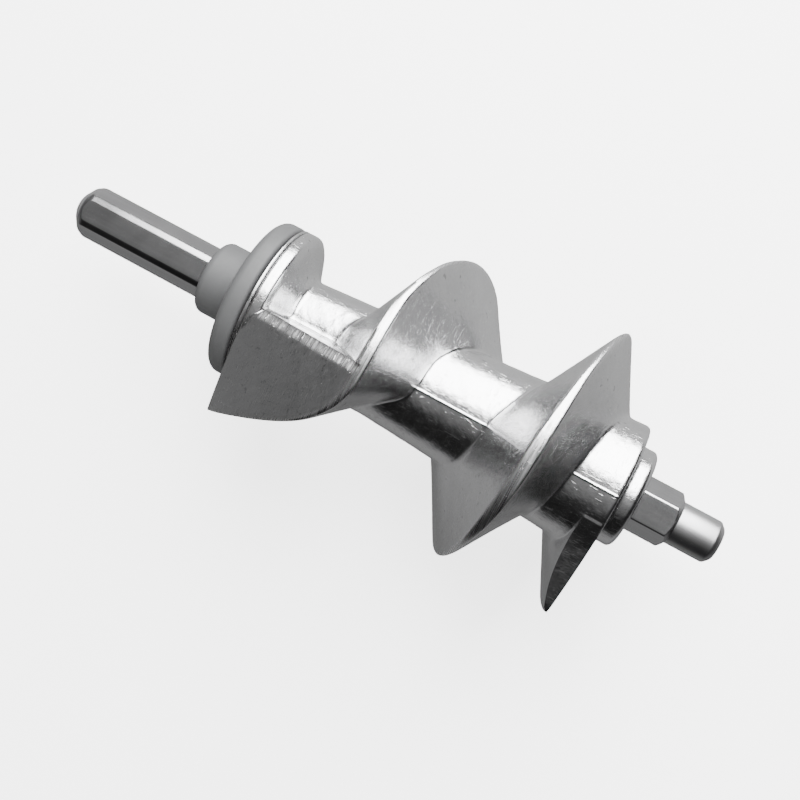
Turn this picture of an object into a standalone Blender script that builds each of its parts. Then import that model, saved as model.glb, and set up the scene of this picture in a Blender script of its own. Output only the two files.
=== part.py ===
"""Feed worm of a hand crank meat grinder: hex drive shaft, die-cast screw, thrust washer and plastic bush.

Frame, in metres: origin at the centre of the shaft's rear end face, +X along the shaft to the pilot pin,
+Z up with the worm lying on its side.
The two halves of the screw casting meet in the XZ plane.
Turn angles run about X, from 0 at +Z through 90 at +Y.
"""
import math

import bmesh
import bpy
import numpy as np
from mathutils import Matrix

MM = 0.001
GAP = 0.3                    # clearance between neighbouring pieces

# drive shaft
HEX_AF = 9.4                 # across flats of the hexagon bar
OVER_REAR = 1.09             # diameter over the turned-down corners at the rear, as a multiple of HEX_AF
OVER_FRONT = 1.14            # the same at the front
POINT = ((0.0, 0.245), (1.75, 0.484))    # rear point: station, radius as a multiple of HEX_AF
POINT_LEN = 3.0
HEX_END = 124.3              # where the front hexagon stops and the pin starts
NOSE_LEN = 0.95              # bevel at the end of the front hexagon
PIN_D = 8.15
SHAFT_LEN = 132.7
PIN_CHAMFER = 1.2

# bush and thrust washer
BUSH_BORE_D = HEX_AF * OVER_REAR + 0.8
COLLAR_D = BUSH_BORE_D + 3.25
COLLAR_X = 28.6              # rear face of the bush collar
COLLAR_ROUND = 1.6
BUSH_FLANGE_X = 36.65        # rear face of the bush flange
BUSH_ROUND = 1.75
WASHER_T = 0.6
WASHER_D = 30.8

# screw casting
RIM_X = 41.8                 # rear face of the casting
RIM_D = 30.8
RIM_LAND = 1.6
BARREL_R0 = 8.25             # barrel radius at BARREL_X0
BARREL_X0 = 48.1
BARREL_TAPER = 0.0724        # growth of the radius per length
BOSS_X = 113.0               # front end of the tapered barrel
STEP_D = 18.8
STEP_X = 116.5               # front face of the step collar, which seats the knife
CREST_R0 = 24.42             # crest radius at CREST_X0
CREST_X0 = 71.7
CREST_TAPER = 0.044
CREST_HALF = 0.7             # half of the flat on the crest
END_Z = 9.5                  # height of the flat face that ends the flight, at END_Y
END_Y = -9.0
END_SLOPE = 0.29             # how much that face falls per length away from the parting plane
PART_CHAMFER = 1.4           # bevel along the top edge of the entry wall
LEDGE_Z = RIM_D / 2 - 0.1    # the wall's edge on the parting plane starts level with the rim
LEDGE_RISE = 0.39            # and climbs this much per length

# flight: turn angle in degrees, crest station, distance from the crest back to the rear root, on to the front root,
# height taken off the crest
FLIGHT = (
    (-125, 13.9, 8.1, 44.6, 0.0),
    (-90, 30.7, 8.1, 31.2, 0.0),
    (-68, 41.2, 8.1, 22.6, 0.0),
    (-53, 48.8, 8.1, 15.4, 0.0),
    (-40, 56.8, 8.1, 10.6, 0.0),
    (-29, 61.7, 8.1, 7.6, 0.0),
    (-14, 64.9, 8.0, 7.6, 0.0),
    (0, 65.3, 7.8, 8.0, 0.0),
    (20, 65.4, 7.6, 8.2, 0.0),
    (35, 65.7, 7.2, 8.2, 0.0),
    (65, 68.5, 6.8, 8.1, 0.0),
    (95, 72.8, 7.1, 8.1, 0.0),
    (125, 77.0, 7.5, 8.1, 0.0),
    (185, 82.3, 7.6, 8.2, 0.0),
    (275, 89.75, 7.8, 8.1, 0.0),
    (305, 92.7, 7.8, 8.0, 0.0),
    (330, 94.9, 8.2, 7.4, 0.0),
    (350, 96.1, 8.5, 7.2, 0.0),
    (368, 96.6, 8.5, 7.4, 0.0),
    (400, 98.1, 7.5, 7.3, 0.0),
    (455, 102.1, 7.3, 6.7, 0.0),
    (545, 107.0, 6.9, 5.0, 0.2),
    (600, 110.1, 6.5, 2.6, 0.9),
    (635, 111.55, 6.0, 1.6, 1.35),
    (660, 111.75, 3.6, 1.4, 1.4),
    (695, 111.8, 2.4, 1.2, 1.4),
)
STEP_A = 7.5                 # degrees between flight sections
WALL_LIMIT = -6.0            # turn angle at which the entry wall runs into the crest


def collection(name):
    col = bpy.data.collections.new(name)
    bpy.context.scene.collection.children.link(col)
    return col


def material(name, colour, metallic, roughness):
    mat = bpy.data.materials.new(name)
    mat.use_nodes = True
    shader = mat.node_tree.nodes["Principled BSDF"]
    shader.inputs["Base Color"].default_value = (*colour, 1.0)
    shader.inputs["Metallic"].default_value = metallic
    shader.inputs["Roughness"].default_value = roughness
    return mat


def mesh_object(name, verts, faces, col):
    """Object from vertices in millimetres, with every face turned to look outwards."""
    mesh = bpy.data.meshes.new(name)
    mesh.from_pydata([tuple(c * MM for c in v) for v in verts], [], faces)
    obj = bpy.data.objects.new(name, mesh)
    col.objects.link(obj)
    bm = bmesh.new()
    bm.from_mesh(mesh)
    bmesh.ops.recalc_face_normals(bm, faces=bm.faces)
    bm.to_mesh(mesh)
    bm.free()
    return obj


def loft(name, sections, col):
    """Closed body through equal-sized rings of points, capped at both ends."""
    n = len(sections[0])
    verts = [p for ring in sections for p in ring]
    faces = []
    for i in range(len(sections) - 1):
        for j in range(n):
            k = (j + 1) % n
            faces.append((i * n + j, i * n + k, (i + 1) * n + k, (i + 1) * n + j))
    last = (len(sections) - 1) * n
    faces.append(tuple(range(n)))
    faces.append(tuple(last + j for j in range(n)))
    return mesh_object(name, verts, faces, col)


def turned(name, profile, steps, col, closed=False):
    """Body turned about X from (station, radius) pairs that run from the rear to the front."""
    ring = list(reversed(profile))
    verts = [(r * MM, 0.0, x * MM) for x, r in ring]
    edges = [(i, i + 1) for i in range(len(ring) - 1)]
    if closed:
        edges.append((len(ring) - 1, 0))
    mesh = bpy.data.meshes.new(name)
    mesh.from_pydata(verts, edges, [])
    obj = bpy.data.objects.new(name, mesh)
    obj.rotation_euler = (0.0, math.radians(90), 0.0)
    col.objects.link(obj)
    screw = obj.modifiers.new("turn", "SCREW")
    screw.axis = "Z"
    screw.steps = steps
    screw.render_steps = steps
    screw.use_merge_vertices = True
    screw.merge_threshold = 0.00001
    return obj


def prism(name, start, stop, across_flats, col):
    """Hexagon bar along X with one flat facing +Z."""
    r = across_flats / 2 / math.cos(math.radians(30)) * MM
    mesh = bpy.data.meshes.new(name)
    bm = bmesh.new()
    bmesh.ops.create_cone(bm, cap_ends=True, segments=6, radius1=r, radius2=r, depth=(stop - start) * MM)
    bm.to_mesh(mesh)
    bm.free()
    obj = bpy.data.objects.new(name, mesh)
    obj.location = ((start + stop) / 2 * MM, 0.0, 0.0)
    obj.rotation_euler = (0.0, math.radians(90), 0.0)
    col.objects.link(obj)
    return obj


def block(name, size, centre, tilt, col):
    """Box of the given size, tilted about X through its own centre."""
    mesh = bpy.data.meshes.new(name)
    bm = bmesh.new()
    bmesh.ops.create_cube(bm, size=MM, matrix=Matrix.Diagonal((*size, 1.0)))
    bm.to_mesh(mesh)
    bm.free()
    obj = bpy.data.objects.new(name, mesh)
    obj.location = [c * MM for c in centre]
    obj.rotation_euler = (tilt, 0.0, 0.0)
    col.objects.link(obj)
    return obj


def evaluate(obj):
    """Replace the object's mesh by the result of its modifiers."""
    deps = bpy.context.evaluated_depsgraph_get()
    mesh = bpy.data.meshes.new_from_object(obj.evaluated_get(deps))
    obj.modifiers.clear()
    old = obj.data
    obj.data = mesh
    bpy.data.meshes.remove(old)
    mesh.name = obj.name


def apply_boolean(target, cutter, kind):
    mod = target.modifiers.new(kind.lower(), "BOOLEAN")
    mod.operation = kind
    mod.object = cutter
    mod.solver = "EXACT"
    evaluate(target)


def tidy_mesh(obj):
    evaluate(obj)
    bm = bmesh.new()
    bm.from_mesh(obj.data)
    bmesh.ops.remove_doubles(bm, verts=bm.verts, dist=0.000003)
    bmesh.ops.dissolve_degenerate(bm, edges=bm.edges, dist=0.000002)
    bmesh.ops.triangulate(bm, faces=bm.faces)
    bmesh.ops.recalc_face_normals(bm, faces=bm.faces)
    bm.to_mesh(obj.data)
    bm.free()
    obj.data.shade_smooth()
    obj.data.set_sharp_from_angle(angle=math.radians(32))


def arc(cx, cr, radius, start, stop, steps):
    """Points of an arc in the (station, radius) plane, angles in degrees from +station."""
    out = []
    for i in range(steps + 1):
        a = math.radians(start + (stop - start) * i / steps)
        out.append((cx + radius * math.cos(a), cr + radius * math.sin(a)))
    return out


def barrel_r(x):
    return BARREL_R0 + BARREL_TAPER * (x - BARREL_X0)


def crest_r(x):
    return CREST_R0 + CREST_TAPER * (x - CREST_X0)


def flight_at(turn):
    """Crest station, root distances and crest drop at a turn angle, averaged over a few degrees to run smoothly."""
    span = np.linspace(-8.0, 8.0, 9) + turn
    angles = [row[0] for row in FLIGHT]
    return [float(np.interp(span, angles, [row[k] for row in FLIGHT]).mean()) for k in (1, 2, 3, 4)]


def polar(x, r, turn):
    a = math.radians(turn)
    return (x, r * math.sin(a), r * math.cos(a))


def build_shaft(col):
    return prism("drive_shaft", 0.0, HEX_END, HEX_AF, col)


def build_turning(col):
    """Turned outline that limits the hexagon: point at the rear, eased corners, bevel at the front."""
    rear = HEX_AF * OVER_REAR / 2
    front = HEX_AF * OVER_FRONT / 2
    profile = [(POINT[0][0], 0.0)] + [(x, r * HEX_AF) for x, r in POINT] + [(POINT_LEN, rear)]
    profile += [(RIM_X + 3.0, rear), (RIM_X + 3.4, front), (HEX_END - NOSE_LEN, front), (HEX_END, PIN_D / 2 + 0.1)]
    return turned("turning_outline", profile + [(HEX_END, 0.0)], 48, col)


def build_pin(col):
    r = PIN_D / 2
    profile = [
        (HEX_END - 1.0, 0.0),
        (HEX_END - 1.0, r),
        (SHAFT_LEN - PIN_CHAMFER, r),
        (SHAFT_LEN - PIN_CHAMFER * 0.4, r - PIN_CHAMFER * 0.5),
        (SHAFT_LEN, r - PIN_CHAMFER),
        (SHAFT_LEN, 0.0),
    ]
    return turned("pin_stock", profile, 48, col)


def build_bush(col):
    front = RIM_X - 2 * GAP - WASHER_T
    r_out = RIM_D / 2
    c_out = COLLAR_D / 2
    outer = [(COLLAR_X, c_out - COLLAR_ROUND)]
    outer += arc(COLLAR_X + COLLAR_ROUND, c_out - COLLAR_ROUND, COLLAR_ROUND, 180, 90, 5)[1:]
    outer += [(BUSH_FLANGE_X, c_out)]
    outer += arc(BUSH_FLANGE_X + BUSH_ROUND, r_out - BUSH_ROUND, BUSH_ROUND, 180, 90, 6)
    outer += [(front - 0.5, r_out), (front, r_out - 0.5)]
    return sleeve("bush", outer, BUSH_BORE_D / 2, col)


def build_washer(col):
    x0 = RIM_X - GAP - WASHER_T
    r = WASHER_D / 2
    outer = [(x0, r - 0.15), (x0 + 0.15, r), (x0 + WASHER_T - 0.15, r), (x0 + WASHER_T, r - 0.15)]
    return sleeve("thrust_washer", outer, BUSH_BORE_D / 2, col)


def sleeve(name, outer, bore_r, col):
    """Turned body with a round bore from end to end."""
    return turned(name, outer + [(outer[-1][0], bore_r), (outer[0][0], bore_r)], 64, col, closed=True)


def build_core(col):
    """Rim, tapered barrel, boss and step collar as one turned solid."""
    rim = RIM_D / 2
    boss_r = barrel_r(BOSS_X)
    step_r = STEP_D / 2
    profile = [
        (RIM_X, 0.0),
        (RIM_X, rim - 0.2),
        (RIM_X + 0.2, rim),
        (RIM_X + RIM_LAND, rim),
        (RIM_X + RIM_LAND + 0.55, rim - 0.15),
        (RIM_X + RIM_LAND + 0.9, rim - 0.6),
        (RIM_X + 3.3, rim - 2.7),
        (RIM_X + 4.0, rim - 4.6),
        (RIM_X + 4.5, rim - 5.9),
        (RIM_X + 5.0, rim - 6.7),
        (RIM_X + 5.8, rim - 7.2),
        (RIM_X + 7.0, barrel_r(RIM_X + 7.0)),
        (BOSS_X - 1.1, barrel_r(BOSS_X - 1.1)),
        (BOSS_X - 0.4, boss_r - 0.4),
        (BOSS_X, boss_r - 1.2),
        (BOSS_X + 0.05, step_r),
        (STEP_X - 1.0, step_r),
        (STEP_X - 0.3, step_r - 0.35),
        (STEP_X, step_r - 1.1),
        (STEP_X, 0.0),
    ]
    return turned("screw_casting", profile, 60, col)


def build_flight(col):
    sections = []
    start = FLIGHT[0][0]
    stop = FLIGHT[-1][0]
    count = int(round((stop - start) / STEP_A))
    for i in range(count + 1):
        turn = start + (stop - start) * i / count
        sections.append(flight_section(turn, *flight_at(turn)))
    return loft("flight_stock", sections, col)


def flight_section(turn, x, back, ahead, drop):
    front = min(x + ahead, BOSS_X - 0.25)
    rear = x - back
    half = min(CREST_HALF, (front - x) * 0.5)
    deep = 1.6
    top = crest_r(x) - drop
    r_front = barrel_r(max(front, BARREL_X0))
    r_rear = barrel_r(max(rear, BARREL_X0))
    lean_front = deep * (front - x - half) / (top - r_front)
    lean_rear = deep * (x - half - rear) / (top - r_rear)
    return [
        polar(rear - lean_rear, r_rear - deep, turn),
        polar(rear, r_rear, turn),
        polar(x - half, top, turn),
        polar(x + half, top, turn),
        polar(front, r_front, turn),
        polar(front + min(lean_front, 0.2), r_front - deep, turn),
    ]


def build_entry_wall(col):
    """The metal under the first half turn, whose flat side stands along the draw direction of the casting."""
    sections = []
    turns = [-74.0, -68.0, -62.0, -57.0, -52.0, -46.0, -40.0, -34.0, -28.0, -22.0, -17.0, -12.0, WALL_LIMIT]
    for turn in turns:
        x = flight_at(turn)[0]
        sections.append(wall_section(x, turn))
    return loft("wall_stock", sections, col)


def wall_section(x, turn):
    top = crest_r(x) - 0.15
    z = top * math.cos(math.radians(turn))
    y = top * math.sin(math.radians(turn))
    bevel = min(PART_CHAMFER, -y * 0.5)
    edge = max(z, LEDGE_Z + LEDGE_RISE * (x - RIM_X - 0.7))
    return [
        (x, -0.02, 1.0),
        (x, -0.02, edge - bevel * 0.5),
        (x, -bevel, edge),
        (x, y * 0.5, edge - (edge - z) * 0.33),
        (x, y, z),
        (x, y * 0.2, z * 0.2),
    ]


def build_end_cut(col):
    """Block over the sloping face that ends the flight, clear of the rest of the screw."""
    tilt = math.atan(END_SLOPE)
    width, height = 60.0, 40.0
    edge_y = -1.0
    edge_z = END_Z + END_SLOPE * (edge_y - END_Y)
    centre = (
        112.25,
        edge_y - width / 2 * math.cos(tilt) - height / 2 * math.sin(tilt),
        edge_z - width / 2 * math.sin(tilt) + height / 2 * math.cos(tilt),
    )
    return block("cut_end", (15.5, width, height), centre, tilt, col)


def main():
    for obj in list(bpy.data.objects):
        bpy.data.objects.remove(obj)
    parts = collection("meat_grinder_worm")
    cutters = collection("cutters")

    shaft = build_shaft(parts)
    apply_boolean(shaft, build_turning(cutters), "INTERSECT")
    apply_boolean(shaft, build_pin(cutters), "UNION")

    casting = build_core(parts)
    flight = build_flight(cutters)
    apply_boolean(flight, build_entry_wall(cutters), "UNION")
    length = RIM_X + 0.1 + 20.0
    behind = block("cut_behind", (length, 120.0, 120.0), (length / 2 - 20.0, 0.0, 0.0), 0.0, cutters)
    apply_boolean(flight, behind, "DIFFERENCE")
    apply_boolean(flight, build_end_cut(cutters), "DIFFERENCE")
    apply_boolean(casting, flight, "UNION")
    bore = prism("cut_bore", RIM_X - 5.0, STEP_X + 5.0, HEX_AF + 2 * GAP, cutters)
    apply_boolean(casting, bore, "DIFFERENCE")

    washer = build_washer(parts)
    bush = build_bush(parts)
    for obj in (shaft, casting, washer, bush):
        tidy_mesh(obj)
    for obj in cutters.objects:
        obj.hide_render = True
        obj.display_type = "WIRE"

    shaft.data.materials.clear()
    casting.data.materials.clear()
    shaft.data.materials.append(material("turned_steel", (0.45, 0.45, 0.46), 1.0, 0.3))
    casting.data.materials.append(material("cast_aluminium", (0.75, 0.76, 0.77), 1.0, 0.28))
    washer.data.materials.append(material("washer_steel", (0.6, 0.6, 0.61), 1.0, 0.25))
    bush.data.materials.append(material("bush_plastic", (0.32, 0.33, 0.34), 0.0, 0.5))


main()
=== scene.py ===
"""Looks of the meat grinder feed worm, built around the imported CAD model."""

import math

import bmesh
import bpy
import numpy as np
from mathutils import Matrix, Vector


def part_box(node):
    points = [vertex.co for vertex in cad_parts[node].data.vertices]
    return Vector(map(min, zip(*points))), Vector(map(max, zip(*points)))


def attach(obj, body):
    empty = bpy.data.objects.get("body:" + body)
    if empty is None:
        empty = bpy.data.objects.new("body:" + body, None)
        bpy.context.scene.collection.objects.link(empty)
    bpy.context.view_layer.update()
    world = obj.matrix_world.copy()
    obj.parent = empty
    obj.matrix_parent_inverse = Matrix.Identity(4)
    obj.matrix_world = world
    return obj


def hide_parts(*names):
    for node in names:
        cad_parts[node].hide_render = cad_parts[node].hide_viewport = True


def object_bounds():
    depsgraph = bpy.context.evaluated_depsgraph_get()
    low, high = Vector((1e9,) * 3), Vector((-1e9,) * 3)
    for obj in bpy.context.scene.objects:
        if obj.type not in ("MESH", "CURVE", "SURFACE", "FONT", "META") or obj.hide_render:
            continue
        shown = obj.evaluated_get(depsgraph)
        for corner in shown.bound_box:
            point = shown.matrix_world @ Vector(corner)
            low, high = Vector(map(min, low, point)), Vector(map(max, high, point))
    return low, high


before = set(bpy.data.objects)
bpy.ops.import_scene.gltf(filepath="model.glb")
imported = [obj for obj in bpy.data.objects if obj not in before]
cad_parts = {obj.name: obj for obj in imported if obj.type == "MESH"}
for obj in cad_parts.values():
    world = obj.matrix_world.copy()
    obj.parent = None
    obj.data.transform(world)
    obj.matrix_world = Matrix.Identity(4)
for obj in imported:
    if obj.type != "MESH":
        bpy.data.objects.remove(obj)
CAD_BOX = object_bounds()
MM = 0.001


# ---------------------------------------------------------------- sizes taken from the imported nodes, in millimetres
def node_box(name):
    low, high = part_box(name)
    return [c / MM for c in low], [c / MM for c in high]


CAST_LOW, CAST_HIGH = node_box("screw_casting")
SHAFT_HIGH = node_box("drive_shaft")[1]
WASHER_LOW, WASHER_HIGH = node_box("thrust_washer")
BUSH_LOW, BUSH_HIGH = node_box("bush")

# casting
RIM_X = CAST_LOW[0]          # rear face of the rim
RIM_R = WASHER_HIGH[1]
STEP_X = CAST_HIGH[0]        # front face of the step collar
STEP_LEN = 3.5
STEP_R = 9.4
BOSS_X = STEP_X - STEP_LEN   # front end of the boss
BARREL_R0 = 8.25             # barrel radius at BARREL_X0
BARREL_X0 = 48.1
BARREL_TAPER = 0.0724
CREST_R0 = 24.42             # crest radius at CREST_X0
CREST_X0 = 71.7
CREST_TAPER = 0.044
LAND_SHARE = 0.45            # most of the way to the front root that half a crest land may take
FLIGHT_END = BOSS_X - 0.1    # the flight's front root stops here
END_Z = 9.5                  # height of the face that ends the flight, END_Y away from the parting plane
END_Y = 9.0
END_DRAFT = 0.29             # how much that face falls per millimetre away from the axis

# entry wall under the first half turn
WALL_FROM = -80.0            # turn angles between which it stands
WALL_TO = -6.0
LEDGE_LOW = 0.1              # how far its edge on the parting plane starts below the rim's radius
LEDGE_START = 0.7            # where that is, ahead of the rim's rear face
LEDGE_RISE = 0.39            # climb of the edge per millimetre
WALL_FALL = 1.6              # power by which the wall falls from the edge to the crest
BEVEL_DEPTH = 0.95
BEVEL_WIDTH = 2.2

# shaft
HEX_FLAT = SHAFT_HIGH[2]     # half of the width across flats
PIN_LEN = 8.4
PIN_R = 4.07
HEX_END = SHAFT_HIGH[0] - PIN_LEN
REAR_CORNER_R = 5.12         # radius over the eased corners behind the casting and in front of it
FRONT_CORNER_R = 5.36

# bush and washer
BORE_R = 5.5
COLLAR_R = 7.15
COLLAR_ROUND = 1.6
FLANGE_T = 3.95
FLANGE_ROUND = 1.7


def barrel_r(x):
    return BARREL_R0 + BARREL_TAPER * (x - BARREL_X0)


def crest_r(x):
    return CREST_R0 + CREST_TAPER * (x - CREST_X0)


# turn angle, crest station, back to the rear root, on to the front root, half of the crest land, drop of the crest
CREST, BACK, AHEAD, LAND, DROP = 1, 2, 3, 4, 5
FLIGHT = (
    (-125, 13.9, 8.1, 44.6, 0.4, 0.0),
    (-90, 30.7, 8.1, 31.2, 0.4, 0.0),
    (-68, 41.2, 8.1, 22.6, 0.4, 0.0),
    (-53, 48.8, 8.1, 15.4, 0.4, 0.0),
    (-40, 56.8, 8.1, 10.6, 0.45, 0.0),
    (-29, 61.7, 8.1, 7.6, 0.6, 0.0),
    (-14, 64.9, 8.0, 7.6, 0.85, 0.0),
    (0, 65.3, 7.8, 8.0, 1.0, 0.0),
    (20, 65.4, 7.6, 8.2, 0.9, 0.0),
    (35, 65.7, 7.2, 8.2, 0.65, 0.0),
    (65, 68.5, 6.8, 8.1, 0.4, 0.0),
    (95, 72.8, 7.1, 8.1, 0.35, 0.0),
    (125, 77.0, 7.5, 8.1, 0.5, 0.0),
    (185, 82.3, 7.6, 8.2, 0.9, 0.0),
    (275, 89.75, 7.8, 8.1, 0.35, 0.0),
    (305, 92.7, 7.8, 8.0, 0.4, 0.0),
    (330, 94.9, 8.2, 7.4, 1.0, 0.0),
    (350, 96.1, 8.5, 7.2, 1.1, 0.0),
    (368, 96.6, 8.5, 7.4, 1.1, 0.0),
    (400, 98.1, 7.5, 7.3, 0.5, 0.0),
    (455, 102.1, 7.3, 6.7, 0.35, 0.0),
    (545, 107.0, 6.9, 5.0, 0.8, 0.2),
    (600, 110.1, 6.5, 2.6, 0.5, 0.9),
    (635, 111.55, 6.0, 1.6, 0.35, 1.35),
    (660, 111.75, 3.6, 1.4, 0.35, 1.4),
    (695, 111.8, 2.4, 1.2, 0.35, 1.4),
)
FIRST_TURN = float(FLIGHT[0][0])
LAST_TURN = float(FLIGHT[-1][0])
BLEND = np.linspace(-8.0, 8.0, 9)    # degrees over which the table is averaged


def table(turn, column):
    """One column of FLIGHT at the given turn angles, averaged over sixteen degrees."""
    angles = [row[0] for row in FLIGHT]
    values = [row[column] for row in FLIGHT]
    total = np.zeros_like(turn)
    for shift in BLEND:
        total += np.interp(turn + shift, angles, values)
    return total / len(BLEND)


def table_at(turn, column):
    return float(table(np.array([turn]), column)[0])


def smooth_max(a, b, k):
    return 0.5 * (a + b + np.sqrt((a - b) ** 2 + k * k))


def smooth_min(a, b, k):
    return 0.5 * (a + b - np.sqrt((a - b) ** 2 + k * k))


# ---------------------------------------------------------------- the casting as a radius over station and turn angle
# turned profiles: station ahead of RIM_X or BOSS_X, radius added to RIM_R, to the barrel or to STEP_R
RIM_PROFILE = (
    (0.0, -0.22), (0.06, -0.08), (0.22, 0.0), (1.45, 0.0), (1.7, -0.05), (2.0, -0.14), (2.25, -0.33), (2.45, -0.6),
    (2.9, -1.3), (3.35, -2.4), (3.75, -3.4), (4.15, -4.4), (4.55, -5.35), (4.95, -6.2), (5.4, -6.8), (6.1, -7.2),
    (7.1, -7.35),
)
BOSS_PROFILE = (
    (-1.2, 0.0), (-0.8, -0.02), (-0.5, -0.1), (-0.3, -0.22), (-0.12, -0.42), (-0.02, -0.8), (0.02, -3.6),
)
STEP_PROFILE = (
    (0.1, 0.25), (0.3, 0.0), (2.3, 0.0), (2.7, -0.08), (3.0, -0.3), (3.3, -0.7), (3.45, -1.15), (3.5, -1.6),
)


def profile_at(x, start, profile):
    return np.interp(x, [start + p[0] for p in profile], [p[1] for p in profile])


def base_r(x):
    """Radius of the rim, barrel, boss and step collar."""
    r = barrel_r(x)
    rim = RIM_R + profile_at(x, RIM_X, RIM_PROFILE)
    r = np.where(x < RIM_X + RIM_PROFILE[-1][0], np.maximum(r, rim), r)
    r = np.where(x > BOSS_X + BOSS_PROFILE[0][0], r + profile_at(x, BOSS_X, BOSS_PROFILE), r)
    step = STEP_R + profile_at(x, BOSS_X, STEP_PROFILE)
    return np.where(x > BOSS_X + BOSS_PROFILE[-1][0], step, r)


def flight_r(x, turn):
    """Radius of the flight alone at station x and turn angle, or 0 well away from it."""
    centre = table(turn, CREST)
    back = table(turn, BACK)
    ahead = np.minimum(table(turn, AHEAD), FLIGHT_END - centre)
    half = np.minimum(table(turn, LAND), ahead * LAND_SHARE)
    # the crest is turned flat near the parting plane and left round as cast at the sides
    cast = np.clip((np.abs(np.sin(np.radians(turn))) - 0.72) / 0.2, 0.0, 1.0)
    top = crest_r(np.clip(centre, RIM_X, BOSS_X)) - table(turn, DROP) + 0.12 * cast
    foot = barrel_r(x)
    offset = x - centre
    ahead_d = (offset - half) / (ahead - half)
    back_d = (-offset - half) / (back - half)
    down = np.maximum(ahead_d, back_d)
    slope = top - (top - foot) * down
    r = smooth_min(top, slope, 0.3 + 0.35 * cast)
    return np.where(down > 1.6, 0.0, r)


WALL_END = table_at(WALL_TO, CREST)


def wall_crest(x):
    """Turn angle at which the crest of the first half turn stands over station x."""
    turns = np.linspace(-75.0, -5.0, 281)
    return np.interp(x, table(turns, CREST), turns)


def wall_z(x):
    """Height of the entry wall at the crest of the first half turn."""
    return crest_r(np.clip(x, RIM_X, BOSS_X)) * np.cos(np.radians(wall_crest(x)))


def ledge_z(x):
    """Height of the entry wall's edge on the parting plane, which starts level with the rim and climbs evenly."""
    return smooth_max(wall_z(x), RIM_R - LEDGE_LOW + LEDGE_RISE * (x - RIM_X - LEDGE_START), 0.3)


def wall_height(x, a):
    """Height of the entry wall over station x in the direction a (radians); it falls away towards the crest."""
    low = wall_z(x)
    edge = ledge_z(x)
    reach = crest_r(np.clip(x, RIM_X, BOSS_X)) * np.sin(np.radians(-wall_crest(x)))
    z = edge
    for _ in range(16):
        y = np.abs(z * np.tan(a))
        z = 0.5 * (z + edge - (edge - low) * np.clip(y / reach, 0.0, 1.0) ** WALL_FALL)
    return z


def end_r(angle):
    """Radius at which the face that ends the flight stands over the given angle."""
    a = np.radians(angle)
    z = (END_Z + END_Y * END_DRAFT) / (1.0 + END_DRAFT * np.tan(np.abs(a)))
    return z / np.maximum(np.cos(a), 0.02)


def casting_r(x, angle, above):
    """Radius at station x and angle in (-180, 180]; above is the side of the parting plane, which matters at angle 0."""
    a = np.radians(angle)
    base = base_r(x)
    r = base.copy()
    for turns in (0.0, 360.0, 720.0):
        turn = angle + turns
        inside = (turn > FIRST_TURN) & (turn < LAST_TURN)
        f = flight_r(x, np.clip(turn, FIRST_TURN, LAST_TURN))
        if turns == 720.0:
            f = np.where((angle < 0) & (turn > 600.0), np.minimum(f, end_r(np.clip(angle, -89.0, 0.0))), f)
        r = np.where(inside & (f > 1.0), np.maximum(r, smooth_max(base, f, 0.9)), r)
    face = wall_height(x, np.clip(a, -1.4, 1.4))
    t = np.clip(np.abs(face * np.tan(a)) / BEVEL_WIDTH, 0.0, 1.0)
    bevel = BEVEL_DEPTH * (1.0 - t) ** 2 * (1.0 + 2.0 * t)
    wall = (face - bevel) / np.maximum(np.cos(a), 0.05)
    below = (angle < 0.0) | ((angle == 0.0) & (not above))
    use = below & (angle > WALL_FROM) & (angle >= wall_crest(x) - 0.001) & (x < WALL_END)
    r = np.where(use, np.maximum(base, wall), r)
    # hollow corner between the barrel and the ledge on the parting plane
    if above:
        y_up = r * np.sin(a)
        rise = 1.0 - np.sqrt(np.clip(1.0 - (1.0 - y_up) ** 2, 0.0, None))
        lift = (angle >= 0.0) & (angle < 40.0) & (y_up < 1.0) & (x < WALL_END)
        r = np.where(lift, r + rise * np.clip(ledge_z(x) - 1.2 - r, 0.0, 1.0), r)
    return r


def ripple(x, angle, r):
    """Slow unevenness of the cast skin, in millimetres."""
    a = np.radians(angle)
    y = r * np.sin(a)
    z = r * np.cos(a)
    w = np.sin(0.9 * x + 0.55 * y + 1.3) * np.sin(0.7 * z - 0.45 * x + 0.4)
    w += 0.6 * np.sin(1.9 * x - 1.2 * z + 0.7) * np.sin(1.6 * y + 0.8 * x + 2.1)
    w += 0.4 * np.sin(3.3 * y + 1.1 * x) * np.sin(2.9 * z + 2.3 * x + 0.9)
    return w


def casting_columns():
    """Turn angles of the grid, closest together at the parting plane on both sides."""
    fine = [0.0, 0.35, 0.7, 1.05, 1.45, 1.9, 2.5, 3.2, 4.0, 4.9, 5.9]
    last = fine[-1]
    steps = 134
    mid = [last + (180.0 - 2 * last) * (i + 1) / steps for i in range(steps - 1)]
    half = fine + mid + [180.0 - f for f in reversed(fine)]
    lower = [-h for h in reversed(half[1:-1])]
    return lower + half


def spread(start, stop, count):
    return [start + (stop - start) * i / count for i in range(count)]


def ease(v, low, high):
    t = min(max((v - low) / (high - low), 0.0), 1.0)
    return t * t * (3.0 - 2.0 * t)


GUIDE_REAR = BOSS_X - 3.2    # where the last turn's two guide lines run over the boss
GUIDE_FRONT = BOSS_X - 1.3
GUIDE_LEAVE = -46.0          # angle at which they leave the end face


def last_turn_edges(turn, angle):
    """Stations of both edges of the last turn's crest, or of the end face where that cuts the crest off."""
    peak = table_at(turn, CREST)
    land = table_at(turn, LAND)
    rear = peak - land
    front = peak + min(land, (FLIGHT_END - peak) * LAND_SHARE)
    if angle > -85.0:
        xs = np.linspace(BOSS_X - 12.0, BOSS_X - 0.13, 1200)
        over = xs[flight_r(xs, np.full_like(xs, turn)) > end_r(max(angle, -89.0))]
        if len(over) > 2:
            rear, front = float(over[0]), float(over[-1])
    return rear, front


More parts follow.
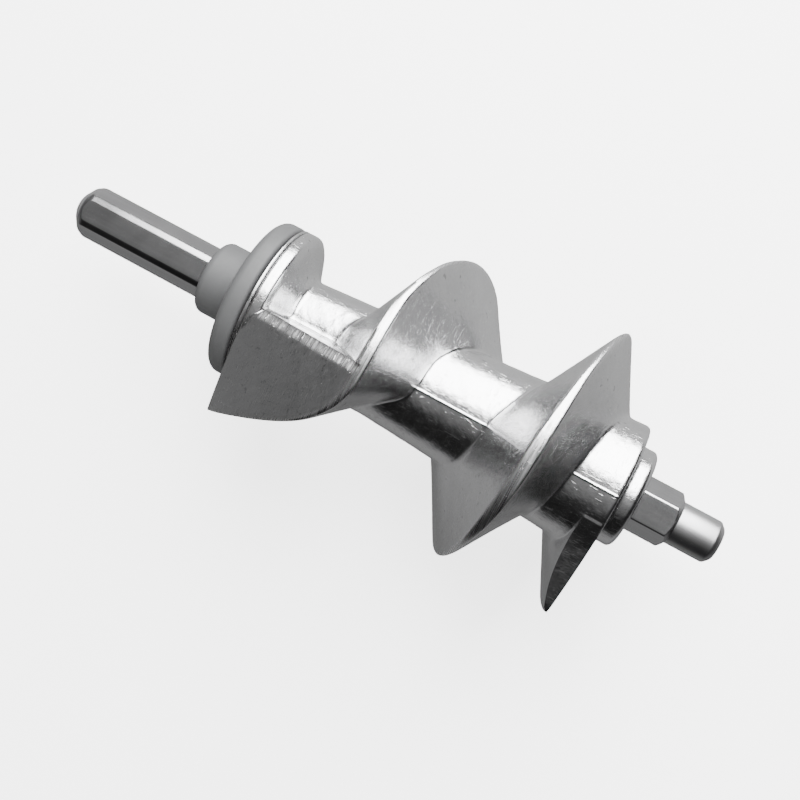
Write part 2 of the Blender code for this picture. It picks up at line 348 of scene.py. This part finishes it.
def guide_lines(angle):
    """Stations of three mesh rows that follow the crest of the first turn and both edges of the last one."""
    start = RIM_X + 0.6
    if angle > WALL_FROM:
        first = max(table_at(angle, CREST), start)
    else:
        first = start + (table_at(180.0, CREST) - RIM_X - 0.6) * (WALL_FROM - angle) / 100.0
    if angle < GUIDE_LEAVE:
        return first, *last_turn_edges(angle + 720.0, angle)
    if angle < 0.0:
        edge = GUIDE_LEAVE - 0.01
        rear, front = last_turn_edges(edge + 720.0, edge)
        t = ease(angle, GUIDE_LEAVE, 0.0)
        return first, rear + (GUIDE_REAR - rear) * t, front + (GUIDE_FRONT - front) * t
    t = ease(angle, 20.0, 180.0)
    peak = table_at(540.0, CREST)
    land = table_at(540.0, LAND)
    return (first, GUIDE_REAR + (peak - land - GUIDE_REAR) * t, GUIDE_FRONT + (peak + land - GUIDE_FRONT) * t)


# mesh rows: from the rim to the first guide line (of FIRST_SPAN millimetres), between the guide lines, and the tail
FIRST_SPAN = 23.5
ROWS_A = [0.0, 0.05, 0.14, 0.26, 0.45, 0.8, 1.2, 1.45, 1.6, 1.75, 1.9, 2.05, 2.2, 2.35, 2.5, 2.7, 2.95, 3.2, 3.5, 3.8,
          4.1, 4.4, 4.7, 5.0, 5.35, 5.7, 6.1, 6.5, 7.0]
ROWS_A = ROWS_A + spread(7.35, FIRST_SPAN, 44)
ROWS_B = spread(0.0, 1.0, 208)
ROWS_C = spread(0.0, 1.0, 10)
ROWS_D = spread(0.0, 1.0, 12)
ROWS_TAIL = [-0.1, -0.05, 0.0, 0.03, 0.1, 0.2, 0.35, 0.8, 1.5, 2.1, 2.4, 2.6, 2.8, 3.0, 3.15, 3.28, 3.38, 3.46, 3.5]


def casting_rows(angle):
    first, rear, front = guide_lines(angle)
    rows = [RIM_X + (first - RIM_X) * v / FIRST_SPAN for v in ROWS_A]
    rows += [first + (rear - first) * v for v in ROWS_B]
    rows += [rear + (front - rear) * v for v in ROWS_C]
    rows += [front + (FLIGHT_END - front) * v for v in ROWS_D]
    rows += [BOSS_X + t for t in ROWS_TAIL]
    return np.minimum(np.array(rows), STEP_X)


def land_mask(rows, angle, r, above):
    """1 on the turned crest land and on the bevelled strip of the entry wall, 0 on the cast skin."""
    top = crest_r(np.clip(rows, RIM_X, BOSS_X)) - 1.15 * np.clip((rows - 107.5) / 3.0, 0.0, 1.0)
    mask = np.clip((r - top + 0.3) / 0.2, 0.0, 1.0)
    if -45.0 < angle < 0.0 or not above:
        strip = np.clip((2.0 + r * math.sin(math.radians(angle))) / 0.5, 0.0, 1.0)
        strip = strip * np.clip((r - base_r(rows) - 0.3) / 0.5, 0.0, 1.0) * (rows < WALL_END)
        mask = np.maximum(mask, strip)
    return mask


def skin(rows, angle, r, mask):
    """Radius with the unevenness of the cast skin and the flash line on the parting plane."""
    cast = (1.0 - mask) * np.clip((rows - RIM_X - 2.0) / 2.0, 0.0, 1.0)
    r = r + 0.018 * ripple(rows, np.full_like(rows, angle), r) * cast
    near = abs(angle) if abs(angle) < 90 else 180 - abs(angle)
    ridge = np.exp(-(near * math.pi / 180 * r / 0.2) ** 2) * (rows < BOSS_X - 0.2)
    proud = np.clip((r - barrel_r(rows) - 0.5) / 1.5, 0.0, 1.0)
    return r + (0.1 - 0.07 * proud) * ridge * (1.0 - mask) * (rows > RIM_X + 3.0)


def polar(x, r, a):
    """Point in metres at station x, radius r (millimetres) and angle a (radians)."""
    return (x * MM, r * math.sin(a) * MM, r * math.cos(a) * MM)


def casting_mesh():
    sides = []
    for angle in casting_columns():
        if angle == 0.0:
            sides.append((angle, False))
        sides.append((angle, True))
    verts = []
    land = []
    for angle, above in sides:
        rows = casting_rows(angle)
        r = casting_r(rows, np.full_like(rows, angle), above)
        mask = land_mask(rows, angle, r, above)
        r = skin(rows, angle, r, mask)
        a = math.radians(angle)
        verts.extend(polar(x, rr, a) for x, rr in zip(rows, r))
        land.extend(mask)
    n = len(rows)
    m = len(sides)
    faces = []
    for j in range(m):
        k = (j + 1) % m
        for i in range(n - 1):
            faces.append((j * n + i, k * n + i, k * n + i + 1, j * n + i + 1))
    # hexagon bore, just clear of the bar
    start = len(verts)
    for angle, _ in sides:
        flat = (HEX_FLAT + 0.06) / math.cos(math.radians(((angle + 30.0) % 60.0) - 30.0))
        verts.extend(polar(x, flat, math.radians(angle)) for x in (rows[0], rows[-1]))
        land.extend([0.0, 0.0])
    for j in range(m):
        k = (j + 1) % m
        r0, r1 = start + 2 * j, start + 2 * k
        faces.append((k * n, j * n, r0, r1))
        faces.append((j * n + n - 1, k * n + n - 1, r1 + 1, r0 + 1))
        faces.append((r0, r0 + 1, r1 + 1, r1))
    return verts, faces, land


def finish_mesh(name, verts, faces, mat, sharp, land=None):
    """Object from a mesh with smooth shading, edges over sharp degrees left sharp."""
    mesh = bpy.data.meshes.new(name)
    mesh.from_pydata(verts, [], faces)
    if land is not None:
        layer = mesh.attributes.new("land", "FLOAT", "POINT")
        layer.data.foreach_set("value", np.asarray(land, dtype=np.float32))
    obj = bpy.data.objects.new(name, mesh)
    bpy.context.scene.collection.objects.link(obj)
    bm = bmesh.new()
    bm.from_mesh(mesh)
    bmesh.ops.remove_doubles(bm, verts=bm.verts, dist=0.000002)
    bmesh.ops.dissolve_degenerate(bm, edges=bm.edges, dist=0.000001)
    bmesh.ops.recalc_face_normals(bm, faces=bm.faces)
    bm.to_mesh(mesh)
    bm.free()
    mesh.shade_smooth()
    mesh.set_sharp_from_angle(angle=math.radians(sharp))
    mesh.materials.append(mat)
    return obj


def lathe(name, profile, mat):
    """Turned ring from (station, radius) pairs, closed through the round bore."""
    steps = 192
    ring = list(profile) + [(profile[-1][0], BORE_R), (profile[0][0], BORE_R)]
    verts = [polar(x, r, 2 * math.pi * j / steps) for j in range(steps) for x, r in ring]
    n = len(ring)
    faces = []
    for j in range(steps):
        k = (j + 1) % steps
        for i in range(n):
            h = (i + 1) % n
            faces.append((j * n + i, k * n + i, k * n + h, j * n + h))
    return finish_mesh(name, verts, faces, mat, 40.0)


def arc(cx, cr, radius, start, stop, steps):
    """Points of an arc in the (station, radius) plane, angles in degrees from +station."""
    out = []
    for i in range(steps + 1):
        a = math.radians(start + (stop - start) * i / steps)
        out.append((cx + radius * math.cos(a), cr + radius * math.sin(a)))
    return out


# ---------------------------------------------------------------- materials
class Nodes:
    """Small helper for building a node tree."""

    def __init__(self, name):
        self.mat = bpy.data.materials.new(name)
        self.mat.use_nodes = True
        self.tree = self.mat.node_tree
        self.shader = self.tree.nodes["Principled BSDF"]
        self.coord = self.add("ShaderNodeTexCoord").outputs["Object"]

    def add(self, kind):
        return self.tree.nodes.new(kind)

    def link(self, a, b):
        self.tree.links.new(a, b)

    def mapped(self, scale, rotation=(0, 0, 0)):
        """Object coordinates, rotated and scaled."""
        node = self.add("ShaderNodeMapping")
        node.inputs["Scale"].default_value = scale
        node.inputs["Rotation"].default_value = rotation
        self.link(self.coord, node.inputs["Vector"])
        return node.outputs["Vector"]

    def noise(self, scale, detail, rough, vector=None):
        node = self.add("ShaderNodeTexNoise")
        node.inputs["Scale"].default_value = scale
        node.inputs["Detail"].default_value = detail
        node.inputs["Roughness"].default_value = rough
        self.link(vector or self.coord, node.inputs["Vector"])
        return node.outputs["Fac"]

    def ramp(self, value, low, high, a=0.0, b=1.0):
        node = self.add("ShaderNodeMapRange")
        node.inputs["From Min"].default_value = low
        node.inputs["From Max"].default_value = high
        node.inputs["To Min"].default_value = a
        node.inputs["To Max"].default_value = b
        self.link(value, node.inputs["Value"])
        return node.outputs["Result"]

    def math(self, op, a, b):
        node = self.add("ShaderNodeMath")
        node.operation = op
        for i, v in enumerate((a, b)):
            if isinstance(v, (int, float)):
                node.inputs[i].default_value = v
            else:
                self.link(v, node.inputs[i])
        return node.outputs[0]

    def mix(self, factor, a, b):
        node = self.add("ShaderNodeMix")
        node.data_type = "RGBA"
        self.link(factor, node.inputs["Factor"])
        for socket, v in ((node.inputs[6], a), (node.inputs[7], b)):
            if isinstance(v, tuple):
                socket.default_value = (*v, 1.0)
            else:
                self.link(v, socket)
        return node.outputs[2]

    def bump(self, height, strength, distance, normal=None):
        node = self.add("ShaderNodeBump")
        node.inputs["Strength"].default_value = strength
        node.inputs["Distance"].default_value = distance
        self.link(height, node.inputs["Height"])
        if normal is not None:
            self.link(normal, node.inputs["Normal"])
        return node.outputs["Normal"]

    def land(self):
        """The mesh attribute that is 1 where the surface is turned."""
        node = self.add("ShaderNodeAttribute")
        node.attribute_name = "land"
        return node.outputs["Fac"]


def cast_metal():
    """Tumbled die casting: slightly hammered skin with pits and fine scratches; the crest lands are turned."""
    n = Nodes("cast_aluminium_skin")
    n.shader.inputs["Metallic"].default_value = 1.0
    land = n.land()
    cloud = n.noise(160, 4, 0.55)
    grain = n.noise(2400, 2, 0.6)
    tone = n.mix(n.ramp(cloud, 0.3, 0.7), (0.6, 0.6, 0.605), (0.65, 0.65, 0.655))
    tone = n.mix(n.ramp(grain, 0.6, 0.75, 0.0, 0.4), tone, (0.38, 0.38, 0.385))
    skin = n.ramp(n.noise(900, 3, 0.6), 0.3, 0.7, 0.19, 0.27)
    lines = n.noise(1.0, 2, 0.5, n.mapped((5200, 140, 140)))
    turned = n.ramp(lines, 0.3, 0.7, 0.2, 0.42)
    as_cast = n.math("MULTIPLY", skin, n.math("SUBTRACT", 1.0, land))
    n.link(n.math("ADD", as_cast, n.math("MULTIPLY", turned, land)), n.shader.inputs["Roughness"])
    scratch = n.noise(1.0, 2, 0.5, n.mapped((4200, 420, 1100), (0.3, 0.5, 0.9)))
    crossed = n.noise(1.0, 2, 0.5, n.mapped((480, 4000, 1300), (0.8, 0.2, 0.4)))
    marks = n.math("MAXIMUM", n.ramp(scratch, 0.64, 0.7), n.ramp(crossed, 0.64, 0.7))
    pits = n.ramp(n.noise(760, 2, 0.5), 0.66, 0.76)
    tone = n.mix(n.math("MULTIPLY", pits, 0.5), tone, (0.25, 0.25, 0.255))
    tone = n.mix(n.math("MULTIPLY", marks, 0.35), tone, (0.85, 0.85, 0.855))
    n.link(tone, n.shader.inputs["Base Color"])
    fine = n.bump(n.noise(2100, 3, 0.65), 0.5, 0.00005)
    cut = n.bump(n.math("SUBTRACT", marks, pits), 0.35, 0.00004, fine)
    middle = n.bump(n.noise(620, 3, 0.55), 0.4, 0.00008, cut)
    broad = n.bump(n.noise(110, 2, 0.5), 0.08, 0.0004, middle)
    n.link(broad, n.shader.inputs["Normal"])
    return n.mat


def bar_steel():
    """Drawn bar: even grey flats with faint streaks along the bar; the pin is turned and duller."""
    n = Nodes("drawn_steel")
    n.shader.inputs["Metallic"].default_value = 1.0
    streak = n.noise(1.0, 3, 0.6, n.mapped((40, 1500, 1500)))
    cloud = n.noise(180, 3, 0.5)
    turned = n.land()
    tone = n.mix(n.ramp(streak, 0.3, 0.7), (0.37, 0.37, 0.375), (0.41, 0.41, 0.415))
    tone = n.mix(n.ramp(cloud, 0.45, 0.75, 0.0, 0.35), tone, (0.44, 0.44, 0.445))
    n.link(tone, n.shader.inputs["Base Color"])
    rough = n.ramp(cloud, 0.3, 0.7, 0.21, 0.26)
    n.link(n.math("ADD", rough, n.math("MULTIPLY", turned, 0.12)), n.shader.inputs["Roughness"])
    n.link(n.bump(streak, 0.08, 0.00003), n.shader.inputs["Normal"])
    return n.mat


def washer_metal():
    """Plain stamped sheet."""
    n = Nodes("washer_sheet")
    n.shader.inputs["Metallic"].default_value = 1.0
    cloud = n.noise(400, 3, 0.6)
    n.link(n.mix(cloud, (0.5, 0.5, 0.5), (0.66, 0.66, 0.66)), n.shader.inputs["Base Color"])
    n.link(n.ramp(cloud, 0.3, 0.7, 0.2, 0.38), n.shader.inputs["Roughness"])
    n.link(n.bump(cloud, 0.1, 0.0001), n.shader.inputs["Normal"])
    return n.mat


def bush_grey():
    """Matt grey moulding."""
    n = Nodes("moulded_grey")
    cloud = n.noise(150, 4, 0.6)
    tone = n.mix(n.ramp(cloud, 0.3, 0.7), (0.068, 0.069, 0.07), (0.078, 0.079, 0.08))
    n.link(tone, n.shader.inputs["Base Color"])
    n.link(n.ramp(n.noise(700, 3, 0.6), 0.3, 0.7, 0.5, 0.62), n.shader.inputs["Roughness"])
    n.shader.inputs["Specular IOR Level"].default_value = 0.35
    n.link(n.bump(n.noise(1800, 3, 0.6), 0.12, 0.00004), n.shader.inputs["Normal"])
    return n.mat


# ---------------------------------------------------------------- pieces
def hex_radius(angle, flat, corner):
    """Radius of a hexagon bar with softly rounded edges, one flat facing +Z."""
    turn = np.radians(((angle + 30.0) % 60.0) - 30.0)
    return smooth_min(flat / np.cos(turn), np.full_like(turn, corner), 0.05)


SIXTH = (0, 6, 12, 17, 20, 22, 23.5, 25, 26.5, 28, 29, 30, 31, 32, 33.5, 35, 36.5, 38, 40, 43, 48, 54)
POINT_X = (0.0, 0.1, 0.4, 1.75, 2.5, 3.0, 3.6)       # rear point: stations and radii
POINT_R = (2.0, 2.3, 2.85, 4.55, 5.0, 5.15, 5.6)
NOSE_LEN = 0.95              # bevel at the front end of the hexagon
NOSE_SLOPE = 1.32


def build_shaft(mat):
    """Hexagon bar with a rounded point, a bevelled front end and the pin."""
    angles = np.array([-180.0 + 60.0 * i + t for i in range(6) for t in SIXTH])
    rows = [0.0, 0.05, 0.12, 0.22] + [0.35 + 0.15 * i for i in range(24)]
    rows += [4.2, 5.0, 7.0, 15.0, 27.0, RIM_X + 2.0, RIM_X + 4.0, 80.0, STEP_X - 2.0]
    rows += [HEX_END - 1.8 + 0.1 * i for i in range(18)]
    count = len(angles)
    sections = []
    for x in rows:
        r = hex_radius(angles, HEX_FLAT, REAR_CORNER_R if x < RIM_X + 3.0 else FRONT_CORNER_R)
        cone = np.interp(x, POINT_X, POINT_R)
        nose = FRONT_CORNER_R - (x - (HEX_END - NOSE_LEN)) * NOSE_SLOPE
        r = smooth_min(r, np.full_like(angles, cone), 0.05)
        r = smooth_min(r, np.full_like(angles, nose), 0.06)
        sections.append((x, r))
    end = SHAFT_HIGH[0]
    pin = [(HEX_END - 0.03, PIN_R + 0.06), (HEX_END + 0.03, PIN_R), (HEX_END + 2.0, PIN_R), (end - 1.45, PIN_R)]
    pin += [(end - 1.25, PIN_R - 0.03), (end - 1.05, PIN_R - 0.12), (end - 0.55, PIN_R - 0.58)]
    pin += [(end - 0.28, PIN_R - 0.87), (end - 0.1, PIN_R - 1.13), (end - 0.02, PIN_R - 1.35)]
    pin += [(end, PIN_R - 1.6), (end, 1.0)]
    for x, r in pin:
        sections.append((x, np.full_like(angles, r)))
    verts = [polar(x, rr, a) for x, r in sections for a, rr in zip(np.radians(angles), r)]
    faces = []
    for i in range(len(sections) - 1):
        for j in range(count):
            k = (j + 1) % count
            faces.append((i * count + j, i * count + k, (i + 1) * count + k, (i + 1) * count + j))
    last = (len(sections) - 1) * count
    faces.append(tuple(range(count)))
    faces.append(tuple(last + j for j in range(count)))
    turned = [float(x > HEX_END - 0.01) for x, _ in sections for _ in range(count)]
    return finish_mesh("hexagon_drive_bar", verts, faces, mat, 28.0, turned)


def build_bush(mat):
    x0 = BUSH_LOW[0]
    front = BUSH_HIGH[0]
    r_out = BUSH_HIGH[1]
    flange = front - FLANGE_T
    profile = [(x0, BORE_R + 0.4), (x0, COLLAR_R - 1.8)]
    profile += arc(x0 + COLLAR_ROUND, COLLAR_R - COLLAR_ROUND, COLLAR_ROUND, 176, 92, 12)
    profile += [(flange - 0.7, COLLAR_R), (flange - 0.3, COLLAR_R + 0.08), (flange - 0.05, COLLAR_R + 0.35)]
    profile += [(flange, COLLAR_R + 0.8), (flange, r_out - 3.4)]
    profile += arc(flange + FLANGE_ROUND, r_out - FLANGE_ROUND, FLANGE_ROUND, 176, 92, 14)
    profile += [(front - 0.6, r_out), (front - 0.35, r_out - 0.06)]
    profile += [(front - 0.12, r_out - 0.25), (front, r_out - 0.6)]
    return lathe("flanged_bush", profile, mat)


def build_washer(mat):
    x0 = WASHER_LOW[0] + 0.1
    x1 = WASHER_HIGH[0] + 0.12
    r = RIM_R
    profile = [(x0, r - 0.3), (x0 + 0.05, r - 0.12), (x0 + 0.18, r)]
    profile += [(x1 - 0.18, r), (x1 - 0.05, r - 0.12), (x1, r - 0.3)]
    return lathe("thrust_ring", profile, mat)


def build_pieces():
    verts, faces, land = casting_mesh()
    casting = finish_mesh("feed_screw", verts, faces, cast_metal(), 42.0, land)
    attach(casting, "worm")
    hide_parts("screw_casting")
    shaft = build_shaft(bar_steel())
    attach(shaft, "worm")
    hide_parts("drive_shaft")
    washer = build_washer(washer_metal())
    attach(washer, "thrust_washer")
    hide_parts("thrust_washer")
    bush = build_bush(bush_grey())
    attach(bush, "bush")
    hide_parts("bush")


# ---------------------------------------------------------------- stage, light and camera
TARGET = (0.07, 0.0, 0.0)    # middle of the worm, at which the lights point


def area_light(name, place, size, power):
    data = bpy.data.lights.new(name, "AREA")
    data.shape = "RECTANGLE"
    data.size, data.size_y = size
    data.energy = power
    obj = bpy.data.objects.new(name, data)
    obj.location = place
    obj.rotation_euler = (Vector(TARGET) - Vector(place)).to_track_quat("-Z", "Y").to_euler()
    bpy.context.scene.collection.objects.link(obj)
    return obj


def build_stage():
    """Lit pale table just under the worm."""
    low = CAD_BOX[0][2] - 0.0002
    half = 3.0
    corners = [(-half, -half, low), (half, -half, low), (half, half, low), (-half, half, low)]
    mesh = bpy.data.meshes.new("table_top")
    mesh.from_pydata(corners, [], [(0, 1, 2, 3)])
    floor = bpy.data.objects.new("table_top", mesh)
    bpy.context.scene.collection.objects.link(floor)
    n = Nodes("pale_table")
    n.shader.inputs["Base Color"].default_value = (0.9, 0.9, 0.9, 1.0)
    n.shader.inputs["Roughness"].default_value = 0.9
    n.shader.inputs["Specular IOR Level"].default_value = 0.1
    n.shader.inputs["Emission Color"].default_value = (1.0, 1.0, 1.0, 1.0)
    n.shader.inputs["Emission Strength"].default_value = 2.6
    mesh.materials.append(n.mat)
    # the light from below comes from the world, which is dimmer than the lit table
    floor.visible_glossy = False
    floor.visible_diffuse = False


def build_world():
    """Room around the metal: dim overhead, dark at the sides, pale below; seen directly it is plain and pale."""
    world = bpy.data.worlds.new("studio")
    bpy.context.scene.world = world
    world.use_nodes = True
    tree = world.node_tree
    back = tree.nodes["Background"]
    coord = tree.nodes.new("ShaderNodeTexCoord")
    split = tree.nodes.new("ShaderNodeSeparateXYZ")
    tree.links.new(coord.outputs["Generated"], split.inputs["Vector"])

    def ramp(axis, start, stop, low, high):
        node = tree.nodes.new("ShaderNodeMapRange")
        node.interpolation_type = "SMOOTHSTEP"
        node.inputs["From Min"].default_value = start
        node.inputs["From Max"].default_value = stop
        node.inputs["To Min"].default_value = low
        node.inputs["To Max"].default_value = high
        tree.links.new(split.outputs[axis], node.inputs["Value"])
        return node.outputs["Result"]

    def combine(kind, a, b):
        node = tree.nodes.new("ShaderNodeMath")
        node.operation = kind
        tree.links.new(a, node.inputs[0])
        tree.links.new(b, node.inputs[1])
        return node.outputs[0]

    overhead = ramp("Z", 0.68, 1.0, 0.015, 0.24)
    rear = combine("MULTIPLY", ramp("X", -0.9, -0.4, 0.2, 0.0), ramp("Z", 0.5, 0.85, 1.0, 0.0))
    across = combine("ADD", ramp("Y", -0.3, 0.5, 0.19, 0.78), ramp("Y", -0.8, -0.4, 0.16, 0.0))
    below = combine("MULTIPLY", ramp("Z", -0.35, -0.05, 1.0, 0.0), across)
    total = combine("ADD", combine("ADD", overhead, rear), below)
    path = tree.nodes.new("ShaderNodeLightPath")
    seen = tree.nodes.new("ShaderNodeMix")
    tree.links.new(path.outputs["Is Camera Ray"], seen.inputs["Factor"])
    tree.links.new(total, seen.inputs["A"])
    seen.inputs["B"].default_value = 3.6
    tree.links.new(seen.outputs["Result"], back.inputs["Color"])
    back.inputs["Strength"].default_value = 1.0


def build_camera():
    data = bpy.data.cameras.new("camera")
    data.sensor_width = 36.0
    data.lens = 51.75
    data.clip_start = 0.01
    camera = bpy.data.objects.new("camera", data)
    camera.location = (0.09462, 0.01246, 0.20849)
    camera.rotation_euler = [math.radians(v) for v in (-0.908, 7.846, 27.945)]
    bpy.context.scene.collection.objects.link(camera)
    bpy.context.scene.camera = camera


build_pieces()
build_stage()
build_world()
area_light("softbox_high", (0.06, 0.378, 0.2955), (0.42, 0.67), 17.0)
fill = area_light("fill_front", (0.07, -0.36, 0.24), (0.6, 0.6), 2.2)
fill.visible_glossy = False  # it only lifts the bush's shaded side
build_camera()
